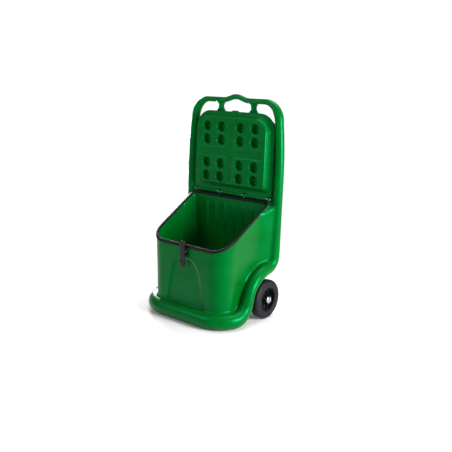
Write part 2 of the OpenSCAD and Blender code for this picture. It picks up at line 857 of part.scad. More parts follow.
body_moulding();
lid();
rim_seal();
lid_hinge_rod();
hinge_push_nuts();
latch_base();
latch_lever();
latch_pin();
latch_spring();
latch_screws();
axle();
axle_saddles();
saddle_screws();
axle_spacers();
axle_washers();
axle_caps();
left_tyre();
right_tyre();
left_wheel_hub();
right_wheel_hub();
left_wheel_bushes();
right_wheel_bushes();
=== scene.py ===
import math

import bmesh
import bpy
from mathutils import Matrix, Vector


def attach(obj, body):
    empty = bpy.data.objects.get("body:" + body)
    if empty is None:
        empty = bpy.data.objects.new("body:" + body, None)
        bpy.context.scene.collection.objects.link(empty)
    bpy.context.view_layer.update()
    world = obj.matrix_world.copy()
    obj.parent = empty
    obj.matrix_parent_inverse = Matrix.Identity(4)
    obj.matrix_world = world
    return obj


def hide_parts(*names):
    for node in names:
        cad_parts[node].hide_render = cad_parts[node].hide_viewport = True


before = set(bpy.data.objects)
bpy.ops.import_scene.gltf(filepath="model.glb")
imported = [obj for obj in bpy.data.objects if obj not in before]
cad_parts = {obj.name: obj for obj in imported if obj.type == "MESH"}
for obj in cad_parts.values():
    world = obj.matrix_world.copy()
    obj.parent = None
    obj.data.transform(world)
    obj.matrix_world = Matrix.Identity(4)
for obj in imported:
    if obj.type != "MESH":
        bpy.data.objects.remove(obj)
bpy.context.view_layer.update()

# ---------- Body moulding ----------
# Tub, bumper roll, posts, handle and back panel are one rotomoulded polyethylene shell.
# The pieces are drawn sharp in millimetres, fused on a fine grid and then smoothed, which
# gives the soft fillets that a hot mould leaves at every joint.
MM = 0.001
TUB_HALF, RIM_LEN, RIM_SLOPE = 250.0, 402.0, math.radians(27.9)
RIM_BACK = Vector((0, 169, 575))
FLOOR_Z, WALL, LOFT_TOP = 14.0, 7.0, 595.0
RIM_FRONT = RIM_BACK - RIM_LEN * Vector((0, math.cos(RIM_SLOPE), math.sin(RIM_SLOPE)))
WALL_FRONT, WALL_BACK = RIM_FRONT.y - 10, RIM_BACK.y - 6
KICK = math.atan(10 / (RIM_FRONT.z - FLOOR_Z))
LOFT_FRONT = WALL_FRONT + 10 * (LOFT_TOP - FLOOR_Z) / (RIM_FRONT.z - FLOOR_Z)
WHEEL_Y, WHEEL_Z, WHEEL_R = 84.0, 100.0, 100.0
LEAN = math.radians(3.3)
HINGE = Vector((0, 182, 588.5))
PANEL_FACE, PANEL_T, PANEL_TOP = 10.25, 22.0, 1008.0
SHELF_TOP = HINGE.z - 28.5
# Stands a flat outline up, so that its own Z points towards the front
UPRIGHT = Matrix.Rotation(math.pi / 2, 4, "X")


def leaning(*place):
    """A place in the open lid's and panel's leaning frame, as a matrix from there to the cart's own frame."""
    turned_axes = Matrix.Translation(HINGE) @ Matrix.Rotation(-LEAN, 4, "X")
    return turned_axes @ Matrix.Translation(Vector(place or (0, 0, 0)))


def wall_place(*place):
    """The same for the front wall's frame, whose origin is the middle of the rim's front edge."""
    turned_axes = Matrix.Translation(RIM_FRONT) @ Matrix.Rotation(-KICK, 4, "X")
    return turned_axes @ Matrix.Translation(Vector(place or (0, 0, 0)))


def new_verts(extruded):
    """The vertices that an extrusion made."""
    return [v for v in extruded["geom"] if isinstance(v, bmesh.types.BMVert)]


def to_object(bm, name, merge=0.001):
    """Makes an object of a bmesh drawn in millimetres, with doubles merged and normals outward."""
    if merge:
        bmesh.ops.remove_doubles(bm, verts=bm.verts, dist=merge)
    bmesh.ops.recalc_face_normals(bm, faces=bm.faces)
    bmesh.ops.scale(bm, vec=(MM, MM, MM), verts=bm.verts)
    mesh = bpy.data.meshes.new(name)
    bm.to_mesh(mesh)
    bm.free()
    obj = bpy.data.objects.new(name, mesh)
    bpy.context.scene.collection.objects.link(obj)
    return obj


def settle(obj):
    """Turns the object's modifiers into its mesh."""
    bpy.context.view_layer.update()
    mesh = bpy.data.meshes.new_from_object(obj.evaluated_get(bpy.context.evaluated_depsgraph_get()))
    obj.modifiers.clear()
    obj.data = mesh
    return obj


def boolean(obj, other, operation="DIFFERENCE", keep=False):
    cutter = obj.modifiers.new("cut", "BOOLEAN")
    cutter.operation, cutter.object, cutter.solver = operation, other, "EXACT"
    settle(obj)
    if not keep:
        bpy.data.objects.remove(other)
    return obj


def joined(objects, name):
    """One object of several closed meshes, which may overlap."""
    bm = bmesh.new()
    for obj in objects:
        bm.from_mesh(obj.data)
        bpy.data.objects.remove(obj)
    mesh = bpy.data.meshes.new(name)
    bm.to_mesh(mesh)
    bm.free()
    obj = bpy.data.objects.new(name, mesh)
    bpy.context.scene.collection.objects.link(obj)
    return obj


def moulded(objects, name, voxel, rounds):
    """Fuses closed pieces on a grid and rounds their edges."""
    obj = joined(objects, name)
    grid = obj.modifiers.new("grid", "REMESH")
    grid.mode, grid.voxel_size, grid.adaptivity = "VOXEL", voxel * MM, 0
    soften = obj.modifiers.new("soften", "SMOOTH")
    soften.factor, soften.iterations = 0.5, rounds
    settle(obj)
    obj.data.shade_smooth()
    return obj


def block(low, high, place=Matrix(), name="block"):
    """A cuboid between two corners of a local frame."""
    bm = bmesh.new()
    bmesh.ops.create_cube(bm, size=1)
    low, high = Vector(low), Vector(high)
    bmesh.ops.scale(bm, vec=high - low, verts=bm.verts)
    bmesh.ops.translate(bm, vec=(low + high) / 2, verts=bm.verts)
    bmesh.ops.transform(bm, matrix=place, verts=bm.verts)
    return to_object(bm, name)


def rod(centre, radius, length, axis="X", place=Matrix(), segments=96, radius_2=None, name="rod"):
    """A cylinder or cone along an axis of a local frame."""
    bm = bmesh.new()
    turns = {"X": Matrix.Rotation(math.pi / 2, 4, "Y"),
             "Y": Matrix.Rotation(-math.pi / 2, 4, "X"),
             "Z": Matrix()}
    bmesh.ops.create_cone(bm, cap_ends=True, segments=segments, radius1=radius,
                          radius2=radius if radius_2 is None else radius_2, depth=length,
                          matrix=place @ Matrix.Translation(Vector(centre)) @ turns[axis])
    return to_object(bm, name)


def plate(half_w, length, r_back, r_front, thickness, place, name="plate", segments=20, grow_to=None):
    """A plate in local XY from y 0 to -length, with a corner radius at each end, raised in local Z.
    grow_to gives (half width, back y, front y, back radius, front radius) of its other face."""
    bm = bmesh.new()
    loops = []
    faces = [(half_w, 0.0, -length, r_back, r_front, 0.0)]
    faces.append((grow_to or faces[0][:5]) + (thickness,))
    for half, back, front, rb, rf, z in faces:
        places = ((-half, back, z), (half, back, z), (half, front, z), (-half, front, z))
        corners = [bm.verts.new(c) for c in places]
        bm.faces.new(corners)
        bmesh.ops.bevel(bm, geom=corners[:2], offset=rb, segments=segments, profile=0.5,
                        affect="VERTICES", material=-1)
        bmesh.ops.bevel(bm, geom=corners[2:], offset=rf, segments=segments, profile=0.5,
                        affect="VERTICES", material=-1)
        face = next(f for f in bm.faces if abs(f.calc_center_median().z - z) < 0.01)
        loops.append(face.edges[:])
    bmesh.ops.bridge_loops(bm, edges=loops[0] + loops[1])
    bmesh.ops.transform(bm, matrix=place, verts=bm.verts)
    return to_object(bm, name)


def tub_loft(inset, low, name="tub"):
    """The tub's drafted walls moved inwards, from a height to above the rim."""
    share = (low - FLOOR_Z) / (LOFT_TOP - FLOOR_Z)
    half = TUB_HALF - 14 + 14 * share
    front = WALL_FRONT + (LOFT_FRONT - WALL_FRONT) * share
    return plate(half - inset, WALL_BACK - front - 2 * inset, 18, 80 + 12 * share - inset, LOFT_TOP - low,
                 Matrix.Translation((0, WALL_BACK - inset, low)), name,
                 grow_to=(TUB_HALF - inset, 6.0, LOFT_FRONT - WALL_BACK + 2 * inset, 18, 92 - inset))


def above_rim(height):
    """Everything above the rim's sloping plane, for cutting."""
    place = Matrix.Translation(RIM_BACK) @ Matrix.Rotation(RIM_SLOPE, 4, "X")
    return block((-700, -900, height), (700, 900, 900), place)


def arch(grow, depth):
    """The round-headed recess that the front wall is pressed in by."""
    peak = 330 - RIM_FRONT.z
    bm = bmesh.new()
    bmesh.ops.create_circle(bm, cap_ends=True, segments=96, radius=88 + grow)
    bmesh.ops.translate(bm, vec=(0, peak - 88, 0), verts=bm.verts)
    for vert in bm.verts:
        if vert.co.y < peak - 74:
            side = 1 if vert.co.x > 0 else -1
            vert.co = (side * (142 + grow), -RIM_FRONT.z, 0)
    bmesh.ops.remove_doubles(bm, verts=bm.verts, dist=0.01)
    top = bmesh.ops.extrude_face_region(bm, geom=bm.faces[:])
    bmesh.ops.translate(bm, vec=(0, 0, 60), verts=new_verts(top))
    bmesh.ops.transform(bm, matrix=wall_place(0, depth, 0) @ UPRIGHT, verts=bm.verts)
    return to_object(bm, "arch")


def smooth_step(t):
    return t * t * (3 - 2 * t)


def tube_line():
    """Centre points and radii of half of the bumper, post and grip, from the middle of the front."""
    line = []
    roll_x, corner, roll_r = 270.0, 130.0, 40.0
    roll_y = WALL_FRONT - 47 + roll_r
    corner_end, lift_y, lift_r = roll_y + corner, WHEEL_Y - 219, 100
    climb_x, climb_r, over_r, post_bend = 273.5, 33.0, 170, 62
    slope, crest = math.radians(64), math.radians(5)
    for i in range(8):
        line.append((Vector((i / 8 * (roll_x - corner), roll_y, roll_r)), roll_r))
    for i in range(12):
        a = math.radians(-90 + 5.2 * i)
        x, y = roll_x - corner + corner * math.cos(a), corner_end + corner * math.sin(a)
        line.append((Vector((x, y, roll_r)), roll_r))
    for i in range(1, 17):
        a = slope * i / 16
        s, y = smooth_step(i / 16), lift_y + lift_r * math.sin(a)
        x = roll_x - corner + math.sqrt(corner ** 2 - min(0, y - corner_end) ** 2) + s * (climb_x - roll_x)
        line.append((Vector((x, y, roll_r + lift_r * (1 - math.cos(a)))), roll_r + s * (climb_r - roll_r)))
    foot = line[-1][0]
    for i in range(1, 5):
        line.append((foot + i * 15 * Vector((0, math.cos(slope), math.sin(slope))), climb_r))
    foot = line[-1][0]
    for i in range(1, 17):
        a = slope + (crest - slope) * i / 16
        turned_by = Vector((0, math.sin(slope) - math.sin(a), math.cos(a) - math.cos(slope)))
        line.append((foot + over_r * turned_by, climb_r))
    foot = line[-1][0]
    for i in range(1, 15):
        a, s = crest + (math.pi / 2 - LEAN - crest) * i / 14, smooth_step(i / 14)
        r = climb_r + s * (25.5 - climb_r)
        line.append((Vector((310 - 3.5 * (1 - s) - r, foot.y + post_bend * (math.sin(a) - math.sin(crest)),
                             foot.z + post_bend * (math.cos(crest) - math.cos(a)))), r))
    foot = line[-1][0]
    bend_z, grip_z, grip_r, post_r, brow = 965.5, 1066.5, 14, 22.5, 18
    for i in range(1, 25):
        z = foot.z + (bend_z - foot.z) * i / 24
        r = post_r + 3 * max(0, 1 - i / 6)
        outer = 310 - 17.5 * max(0, (z - 0.648 * 1080) / 275) ** 2
        line.append((Vector((outer - r, foot.y + (z - foot.z) * math.tan(LEAN), z)), r))
    top_x = line[-1][0].x
    for i in range(1, 21):
        a, s = math.pi / 2 * i / 20, smooth_step(i / 20)
        z = bend_z + (grip_z - bend_z) * math.sin(a)
        line.append((Vector((180 + (top_x - 180) * math.cos(a), foot.y + (z - foot.z) * math.tan(LEAN), z)),
                     post_r - (post_r - grip_r) * s + 3 * math.sin(2 * a)))
    for x in (160, 140, 120, 100, 80, 70, 60, 50, 40, 30, 20, 10, 0):
        z = grip_z + brow * math.cos(math.pi / 2 * min(1, x / 80)) ** 2
        line.append((Vector((x, foot.y + (z - foot.z) * math.tan(LEAN), z)), grip_r))
    return line


def swept(line, name, closed=True):
    """A tube along a line of (point, radius)."""
    curve = bpy.data.curves.new(name, "CURVE")
    curve.dimensions, curve.bevel_depth, curve.bevel_resolution = "3D", MM, 14
    curve.use_fill_caps = True
    spline = curve.splines.new("POLY")
    spline.points.add(len(line) - 1)
    for point, (place, radius) in zip(spline.points, line):
        point.co, point.radius = (*(place * MM), 1), radius
    spline.use_cyclic_u = closed
    holder = bpy.data.objects.new(name, curve)
    bpy.context.scene.collection.objects.link(holder)
    bpy.context.view_layer.update()
    mesh = bpy.data.meshes.new_from_object(holder.evaluated_get(bpy.context.evaluated_depsgraph_get()))
    bpy.data.objects.remove(holder)
    obj = bpy.data.objects.new(name, mesh)
    bpy.context.scene.collection.objects.link(obj)
    return obj


half_line = tube_line()
mirrored = [(Vector((-p.x, p.y, p.z)), r) for p, r in half_line[-2:0:-1]]
tube = swept(half_line + mirrored, "tube")
boolean(tube, tub_loft(3, FLOOR_Z))
for side in (-1, 1):
    boolean(tube, rod((side * 308, WHEEL_Y, WHEEL_Z), WHEEL_R + 7, 100))

tub = tub_loft(0, FLOOR_Z)
boolean(tub, above_rim(0))
boolean(tub, arch(0, 8))
boolean(tub, block((-400, WHEEL_Y - 48, -10), (400, 400, WHEEL_Z)))
cavity = tub_loft(WALL, FLOOR_Z + WALL)
boolean(cavity, arch(WALL, 8 + WALL))
boolean(cavity, block((-400, WHEEL_Y - 48 - WALL, 0), (400, 400, WHEEL_Z + 18)))
boolean(tub, cavity)
# Faint flutes up the inside of the back wall
flutes = [rod((x, WALL_BACK - WALL + 1.5, 330), 4.5, 400, "Z", segments=24) for x in range(-150, 151, 60)]

# The panel's top falls away at both sides, where it meets the posts
PANEL_REACH = (PANEL_TOP - HINGE.z) / math.cos(LEAN)
panel = plate(280, PANEL_REACH + 258, 158, 20, PANEL_T,
              leaning(0, PANEL_FACE + PANEL_T, PANEL_REACH) @ UPRIGHT, "panel", segments=32)
shelf = block((-262, WALL_BACK - 3, 252), (262, HINGE.y + PANEL_FACE, SHELF_TOP))
boolean(shelf, block((-300, PANEL_FACE - 1, -400), (300, 60, -10), leaning()))
webs = []
for side in (-1, 1):
    # A web closes the corner between the tub's side and the post
    bm = bmesh.new()
    outline = ((236, 82), (243, 84), (284, 162), (284, 180), (236, 180))
    bm.faces.new([bm.verts.new((side * x, y, 240)) for x, y in outline])
    top = bmesh.ops.extrude_face_region(bm, geom=bm.faces[:])
    bmesh.ops.translate(bm, vec=(0, 0, 330), verts=new_verts(top))
    webs.append(boolean(to_object(bm, "web"), above_rim(-11)))
# Each strut flares like a trumpet into the panel below and the grip above
STRUT_FLARE = ((0, 40), (22, 30), (30, 21), (38, 16.5), (48, 15), (56, 16.5), (64, 21), (70, 27), (74, 33))
struts = []
for side in (-1, 1):
    foot = PANEL_REACH - 22
    struts.append(swept([(leaning(side * 105, PANEL_FACE + PANEL_T / 2 - 1, foot + h) @ Vector(), r)
                         for h, r in STRUT_FLARE], "strut", closed=False))
clear_of_lid = block((-400, -300, 0), (400, PANEL_FACE, 430), leaning())
for strut in struts:
    boolean(strut, clear_of_lid, keep=True)
    boolean(strut, block((-400, PANEL_FACE + PANEL_T, -100), (400, 300, 600), leaning()))
bpy.data.objects.remove(clear_of_lid)
lugs = []
for x in (-238, -82, 82, 238):
    lugs.append(rod((x, HINGE.y, HINGE.z), 8.5, 18))
    lugs.append(block((x - 9, HINGE.y - 6, SHELF_TOP - 4), (x + 9, HINGE.y + 8.5, HINGE.z)))

body = moulded([tube, tub, panel, shelf] + webs + struts + lugs + flutes, "moulded_body",
               5.7, 3)
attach(body, "cart_frame")
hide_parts("body_moulding")


def colour(text):
    """A hex sRGB colour as linear RGBA."""
    parts = [int(text[i:i + 2], 16) / 255 for i in (1, 3, 5)]
    return tuple(c / 12.92 if c <= 0.04045 else ((c + 0.055) / 1.055) ** 2.4 for c in parts) + (1.0,)


def add(tree, kind, inputs=None, stops=(), **settings):
    """Adds a node. An input given as a socket is linked, and any other value is set. Stops are
    a colour ramp's two (position, colour) ends."""
    node = tree.nodes.new(kind)
    for end, (position, shade) in enumerate(stops):
        node.color_ramp.elements[end].position = position
        node.color_ramp.elements[end].color = shade
    for name, value in settings.items():
        setattr(node, name, value)
    for name, value in (inputs or {}).items():
        if isinstance(value, bpy.types.NodeSocket):
            tree.links.new(value, node.inputs[name])
        else:
            node.inputs[name].default_value = value
    return node


def new_material(name):
    material = bpy.data.materials.new(name)
    material.use_nodes = True
    material.node_tree.nodes.clear()
    return material, material.node_tree


def put_on(obj, material):
    obj.data.materials.clear()
    obj.data.materials.append(material)


# Green polyethylene, powder-fused against a blasted mould: a satin skin with a fine orange
# peel, slow waves where the wall cooled unevenly, and a slightly cloudy colour.
green, tree = new_material("rotomoulded_polyethylene")
place = add(tree, "ShaderNodeTexCoord")
cloud = add(tree, "ShaderNodeTexNoise", {"Vector": place.outputs["Object"], "Scale": 1000 / 90,
                                           "Detail": 3})
grain = add(tree, "ShaderNodeTexNoise", {"Vector": place.outputs["Object"], "Scale": 1000 / 2.2,
                                           "Detail": 3, "Roughness": 0.6})
slow = add(tree, "ShaderNodeTexNoise", {"Vector": place.outputs["Object"], "Scale": 1000 / 45,
                                          "Detail": 1})
tint = add(tree, "ShaderNodeValToRGB", {"Fac": cloud.outputs["Fac"]},
           stops=((0.3, colour("#005114")), (0.7, colour("#005a1a"))))
gloss = add(tree, "ShaderNodeMapRange", {"Value": cloud.outputs["Fac"], "From Min": 0.3, "From Max": 0.7,
                                         "To Min": 0.27, "To Max": 0.35})
peel = add(tree, "ShaderNodeBump", {"Height": grain.outputs["Fac"], "Strength": 0.12, "Distance": 0.0003})
swell = add(tree, "ShaderNodeBump", {"Height": slow.outputs["Fac"], "Strength": 0.15, "Distance": 0.0008,
                                     "Normal": peel.outputs["Normal"]})
shader = add(tree, "ShaderNodeBsdfPrincipled", {"Base Color": tint.outputs["Color"],
                                                "Roughness": gloss.outputs["Result"],
                                                "Normal": swell.outputs["Normal"], "IOR": 1.5,
                                                "Specular IOR Level": 0.28,
                                                "Specular Tint": colour("#20ffb8")})
add(tree, "ShaderNodeOutputMaterial", {"Surface": shader.outputs["BSDF"]})
put_on(body, green)

# ---------- Rim seal ----------
# A black rubber channel pressed over the tub's edge all the way round. It is extruded, so
# its section is even, and its crown is round.
def rim_outline(grow, height, name):
    loft = tub_loft(-grow, FLOOR_Z + 100, name)
    return boolean(loft, above_rim(height))


seal = rim_outline(2.8, 4, "rim_bead")
low = Matrix.Translation(RIM_BACK) @ Matrix.Rotation(RIM_SLOPE, 4, "X")
boolean(seal, block((-700, -900, -900), (700, 900, -6), low))
boolean(seal, tub_loft(WALL + 1.6, FLOOR_Z + 50))
def eased(obj, width, segments, angle):
    """Rounds the edges that are sharper than an angle in degrees. The width is in millimetres."""
    soften = obj.modifiers.new("round", "BEVEL")
    soften.width, soften.segments = width * MM, segments
    soften.limit_method, soften.angle_limit = "ANGLE", math.radians(angle)
    settle(obj)
    obj.data.shade_smooth()


eased(seal, 2.6, 4, 50)
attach(seal, "cart_frame")
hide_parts("rim_seal")

# EPDM rubber: dull black with a faint bluish bloom and a fine matt skin.
rubber, tree = new_material("epdm_rubber")
place = add(tree, "ShaderNodeTexCoord")
cloud = add(tree, "ShaderNodeTexNoise", {"Vector": place.outputs["Object"], "Scale": 1000 / 30,
                                           "Detail": 3})
grain = add(tree, "ShaderNodeTexNoise", {"Vector": place.outputs["Object"], "Scale": 1000 / 1.2,
                                           "Detail": 2})
tint = add(tree, "ShaderNodeValToRGB", {"Fac": cloud.outputs["Fac"]},
           stops=((0.35, colour("#050608")), (0.7, colour("#0b0c0f"))))
skin = add(tree, "ShaderNodeBump", {"Height": grain.outputs["Fac"], "Strength": 0.2, "Distance": 0.0002})
shader = add(tree, "ShaderNodeBsdfPrincipled", {"Base Color": tint.outputs["Color"], "Roughness": 0.5,
                                                "Specular IOR Level": 0.15,
                                                "Normal": skin.outputs["Normal"]})
add(tree, "ShaderNodeOutputMaterial", {"Surface": shader.outputs["BSDF"]})
put_on(seal, rubber)

# ---------- Lid ----------
# A double-walled polyethylene lid. Sixteen round dimples and a shallow cross stiffen its
# inner wall, and a step round the plug sits inside the rim.
LID_HALF, LID_LEN, LID_START = 253.0, 422.0, 11.0
FLANGE_LOW, PLUG_FACE, LID_BACK = 1.2, 33.2, -9.3


def lid_layer(low, high, inset, r_low, r_top, heel=0):
    """A layer of the lid between two depths, inset all round, and by its heel more at the hinge."""
    return plate(LID_HALF - inset, LID_LEN - LID_START - 2 * inset - heel, r_top, r_low, high - low,
                 leaning(0, -low, LID_LEN - inset) @ UPRIGHT, "layer", segments=24)


flange = lid_layer(LID_BACK, FLANGE_LOW, 0, 10, 92)
step = lid_layer(FLANGE_LOW - 1, FLANGE_LOW + 6, 18, 16, 92, 4)
plug_base = lid_layer(FLANGE_LOW, PLUG_FACE - 8, 25, 22, 68, 7)
plug = lid_layer(PLUG_FACE - 9, PLUG_FACE, 31, 18, 62, 7)
layers = [plug, flange, step, plug_base,
          block((-20, -LID_BACK - 5.5, LID_LEN - 4), (20, -LID_BACK, LID_LEN + 6), leaning())]
# The hinge barrels run almost the whole width, between the body's four narrow lugs
for x, half in ((-160, 65.5), (0, 69.5), (160, 65.5)):
    layers.append(rod((x, 0, 0), 8.5, 2 * half, "X", leaning()))
    layers.append(block((x - half, -FLANGE_LOW, 0), (x + half, 8.3, 17), leaning()))
CROSS_Z = (LID_START + LID_LEN) / 2 - 2
DIMPLE_R, DIMPLE_FLOOR_R, DIMPLE_DEPTH = 29.2, 16, 34
for x in (-61.0, -154.0, 61.0, 154.0):
    for z in (-130, -61.5, 61.5, 130):
        for layer in (plug, plug_base, step):
            dimple = rod((x, -PLUG_FACE + 14, CROSS_Z + z), DIMPLE_R, DIMPLE_DEPTH, "Y", leaning(),
                         segments=64, radius_2=DIMPLE_FLOOR_R)
            boolean(layer, dimple)
arm = block((-208, -PLUG_FACE - 1, CROSS_Z - 25.5), (208, -PLUG_FACE + 2.5, CROSS_Z + 25.5), leaning())
stem = block((-22, -PLUG_FACE - 1, CROSS_Z - 160), (22, -PLUG_FACE + 2.5, CROSS_Z + 160), leaning())
boolean(plug, boolean(arm, stem, "UNION"))
boolean(plug, rod((0, -PLUG_FACE, CROSS_Z - 150), 2.5, 8, "Y", leaning(), 24))
lid = moulded(layers, "lid_moulding", 2.6, 3)
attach(lid, "lid")
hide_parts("lid")
put_on(lid, green)

# ---------- Lid hinge ----------
# A zinc-plated steel rod runs through the lid's barrels and the body's lugs, with a push nut at each end.
# Zinc plate on drawn steel: pale grey metal, cloudy from the bath, with fine scuffs.
zinc, tree = new_material("zinc_plated_steel")
place = add(tree, "ShaderNodeTexCoord")
patch = add(tree, "ShaderNodeTexNoise", {"Vector": place.outputs["Object"], "Scale": 1000 / 6,
                                           "Detail": 3, "Roughness": 0.6})
fine = add(tree, "ShaderNodeTexNoise", {"Vector": place.outputs["Object"], "Scale": 1000 / 0.8,
                                          "Detail": 2})
tint = add(tree, "ShaderNodeValToRGB", {"Fac": patch.outputs["Fac"]},
           stops=((0.3, colour("#9fa2a4")), (0.7, colour("#c6c8c9"))))
blur = add(tree, "ShaderNodeMapRange", {"Value": patch.outputs["Fac"], "From Min": 0.3, "From Max": 0.7,
                                        "To Min": 0.28, "To Max": 0.42})
scuff = add(tree, "ShaderNodeBump", {"Height": fine.outputs["Fac"], "Strength": 0.15, "Distance": 0.0001})
shader = add(tree, "ShaderNodeBsdfPrincipled", {"Base Color": tint.outputs["Color"],
                                                "Roughness": blur.outputs["Result"],
                                                "Normal": scuff.outputs["Normal"], "Metallic": 1.0})
add(tree, "ShaderNodeOutputMaterial", {"Surface": shader.outputs["BSDF"]})
for node in ("lid_hinge_rod", "hinge_push_nuts", "latch_pin", "latch_spring", "latch_screws",
             "axle", "axle_saddles", "saddle_screws", "axle_washers"):
    put_on(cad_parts[node], zinc)

# ---------- Catch ----------
# A sprung lever of black nylon rocks on a base screwed to the front wall. Its nose hooks in over the rim.
# Injection-moulded nylon: near black, with a fine spark-eroded grain and a low satin gloss.
nylon, tree = new_material("black_nylon")
place = add(tree, "ShaderNodeTexCoord")
cloud = add(tree, "ShaderNodeTexNoise", {"Vector": place.outputs["Object"], "Scale": 1000 / 12,
                                           "Detail": 3})
grain = add(tree, "ShaderNodeTexNoise", {"Vector": place.outputs["Object"], "Scale": 1000 / 0.9,
                                           "Detail": 3, "Roughness": 0.6})
tint = add(tree, "ShaderNodeValToRGB", {"Fac": cloud.outputs["Fac"]},
           stops=((0.3, colour("#060708")), (0.75, colour("#101113"))))
skin = add(tree, "ShaderNodeBump", {"Height": grain.outputs["Fac"], "Strength": 0.2, "Distance": 0.0002})
shader = add(tree, "ShaderNodeBsdfPrincipled", {"Base Color": tint.outputs["Color"], "Roughness": 0.36,
                                                "Specular IOR Level": 0.3,
                                                "Normal": skin.outputs["Normal"]})
add(tree, "ShaderNodeOutputMaterial", {"Surface": shader.outputs["BSDF"]})
for node in ("latch_base", "axle_spacers"):
    put_on(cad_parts[node], nylon)

LEVER_HALF, LEVER_IN, LEVER_OUT, PIVOT = 15.0, 16.2, 23.2, Vector((0, -10.5, -25))
bm = bmesh.new()
profile = [(1.5 - LEVER_OUT, -102), (-LEVER_IN, -102), (-LEVER_IN, 9.6), (-6.9, 14.6), (-6.9, 19),
           (-LEVER_IN, 29), (-18.2, 29), (-LEVER_OUT, 24), (-LEVER_OUT, -40), (1 - LEVER_OUT, -60),
           (-LEVER_OUT, -80), (-LEVER_OUT, -100)]
side_face = bm.faces.new([bm.verts.new((-LEVER_HALF, y, z)) for y, z in profile])
across = bmesh.ops.extrude_face_region(bm, geom=[side_face])
bmesh.ops.translate(bm, vec=(2 * LEVER_HALF, 0, 0), verts=new_verts(across))
bmesh.ops.recalc_face_normals(bm, faces=bm.faces)
bmesh.ops.bevel(bm, geom=bm.edges[:], offset=1.3, segments=3, profile=0.5, affect="EDGES", material=-1)
bmesh.ops.transform(bm, matrix=wall_place(), verts=bm.verts)
lever = to_object(bm, "latch_lever_moulding")
for side in (-1, 1):
    boolean(lever, rod((side * 13, PIVOT.y, PIVOT.z), 6, 4, "X", wall_place(), 48), "UNION")
    ear = block((side * 13 - 2, -17, PIVOT.z - 6), (side * 13 + 2, PIVOT.y, PIVOT.z + 6), wall_place())
    boolean(lever, ear, "UNION")
boolean(lever, rod((0, PIVOT.y, PIVOT.z), 2.55, 40, "X", wall_place(), 48))
boolean(lever, rod((0, -20, -72), 4, 60, "Y", wall_place(), 48))
lever.data.shade_smooth()
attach(lever, "latch")
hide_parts("latch_lever")
put_on(lever, nylon)

# ---------- Wheels ----------
# Solid black rubber tyres on spoked nylon hubs. Each tyre is moulded in a two-part mould,
# which leaves a fine line round its middle and a shallow groove at each shoulder.
# Compression-moulded rubber: dull blue-black and slightly mottled, with a fine matt skin.
tyre_rubber, tree = new_material("solid_rubber_tyre")
place = add(tree, "ShaderNodeTexCoord")
cloud = add(tree, "ShaderNodeTexNoise", {"Vector": place.outputs["Object"], "Scale": 1000 / 25,
                                           "Detail": 3})
grain = add(tree, "ShaderNodeTexNoise", {"Vector": place.outputs["Object"], "Scale": 1000 / 1.5,
                                           "Detail": 2})
tint = add(tree, "ShaderNodeValToRGB", {"Fac": cloud.outputs["Fac"]},
           stops=((0.3, colour("#08090d")), (0.75, colour("#101218"))))
skin = add(tree, "ShaderNodeBump", {"Height": grain.outputs["Fac"], "Strength": 0.25, "Distance": 0.0003})
shader = add(tree, "ShaderNodeBsdfPrincipled", {"Base Color": tint.outputs["Color"], "Roughness": 0.55,
                                                "Specular IOR Level": 0.2,
                                                "Normal": skin.outputs["Normal"]})
add(tree, "ShaderNodeOutputMaterial", {"Surface": shader.outputs["BSDF"]})

WHEEL_X = 291.0
TYRE_PROFILE = [(62, -20.5), (64, -22.8), (68, -24), (74, -24), (76, -22.6), (78, -24), (84, -24)]
SHOULDER_R = 15
for degrees in range(10, 90, 8):
    a = math.radians(degrees)
    TYRE_PROFILE.append((85 + SHOULDER_R * math.sin(a), -9 - SHOULDER_R * math.cos(a)))
TYRE_PROFILE += [(100, -9), (100, -1.2), (99.2, -0.6)]
HUB_DISC = [(17, -3.5), (54, -3.5), (54, 3.5), (17, 3.5)]
HUB_RIM = [(53.5, -21), (61.9, -21.5), (61.9, 21.5), (53.5, 21), (55.5, 14), (55.5, -14)]
BOSS = [(13.1, -23), (16.5, -23), (18, -21), (18, 21), (16.5, 23), (13.1, 23)]


def turned(profile, centre, mirror=False):
    """A ring turned about the wheel axle from (radius, place along the axle) points."""
    bm = bmesh.new()
    points = list(profile) + ([(r, -x) for r, x in reversed(profile)] if mirror else [])
    verts = [bm.verts.new((x, 0, r)) for r, x in points]
    edges = [bm.edges.new((verts[i], verts[(i + 1) % len(verts)])) for i in range(len(verts))]
    bmesh.ops.spin(bm, geom=verts + edges, cent=(0, 0, 0), axis=(1, 0, 0), angle=2 * math.pi, steps=96,
                   use_merge=True, use_duplicate=False)
    bmesh.ops.translate(bm, vec=centre, verts=bm.verts)
    return bm


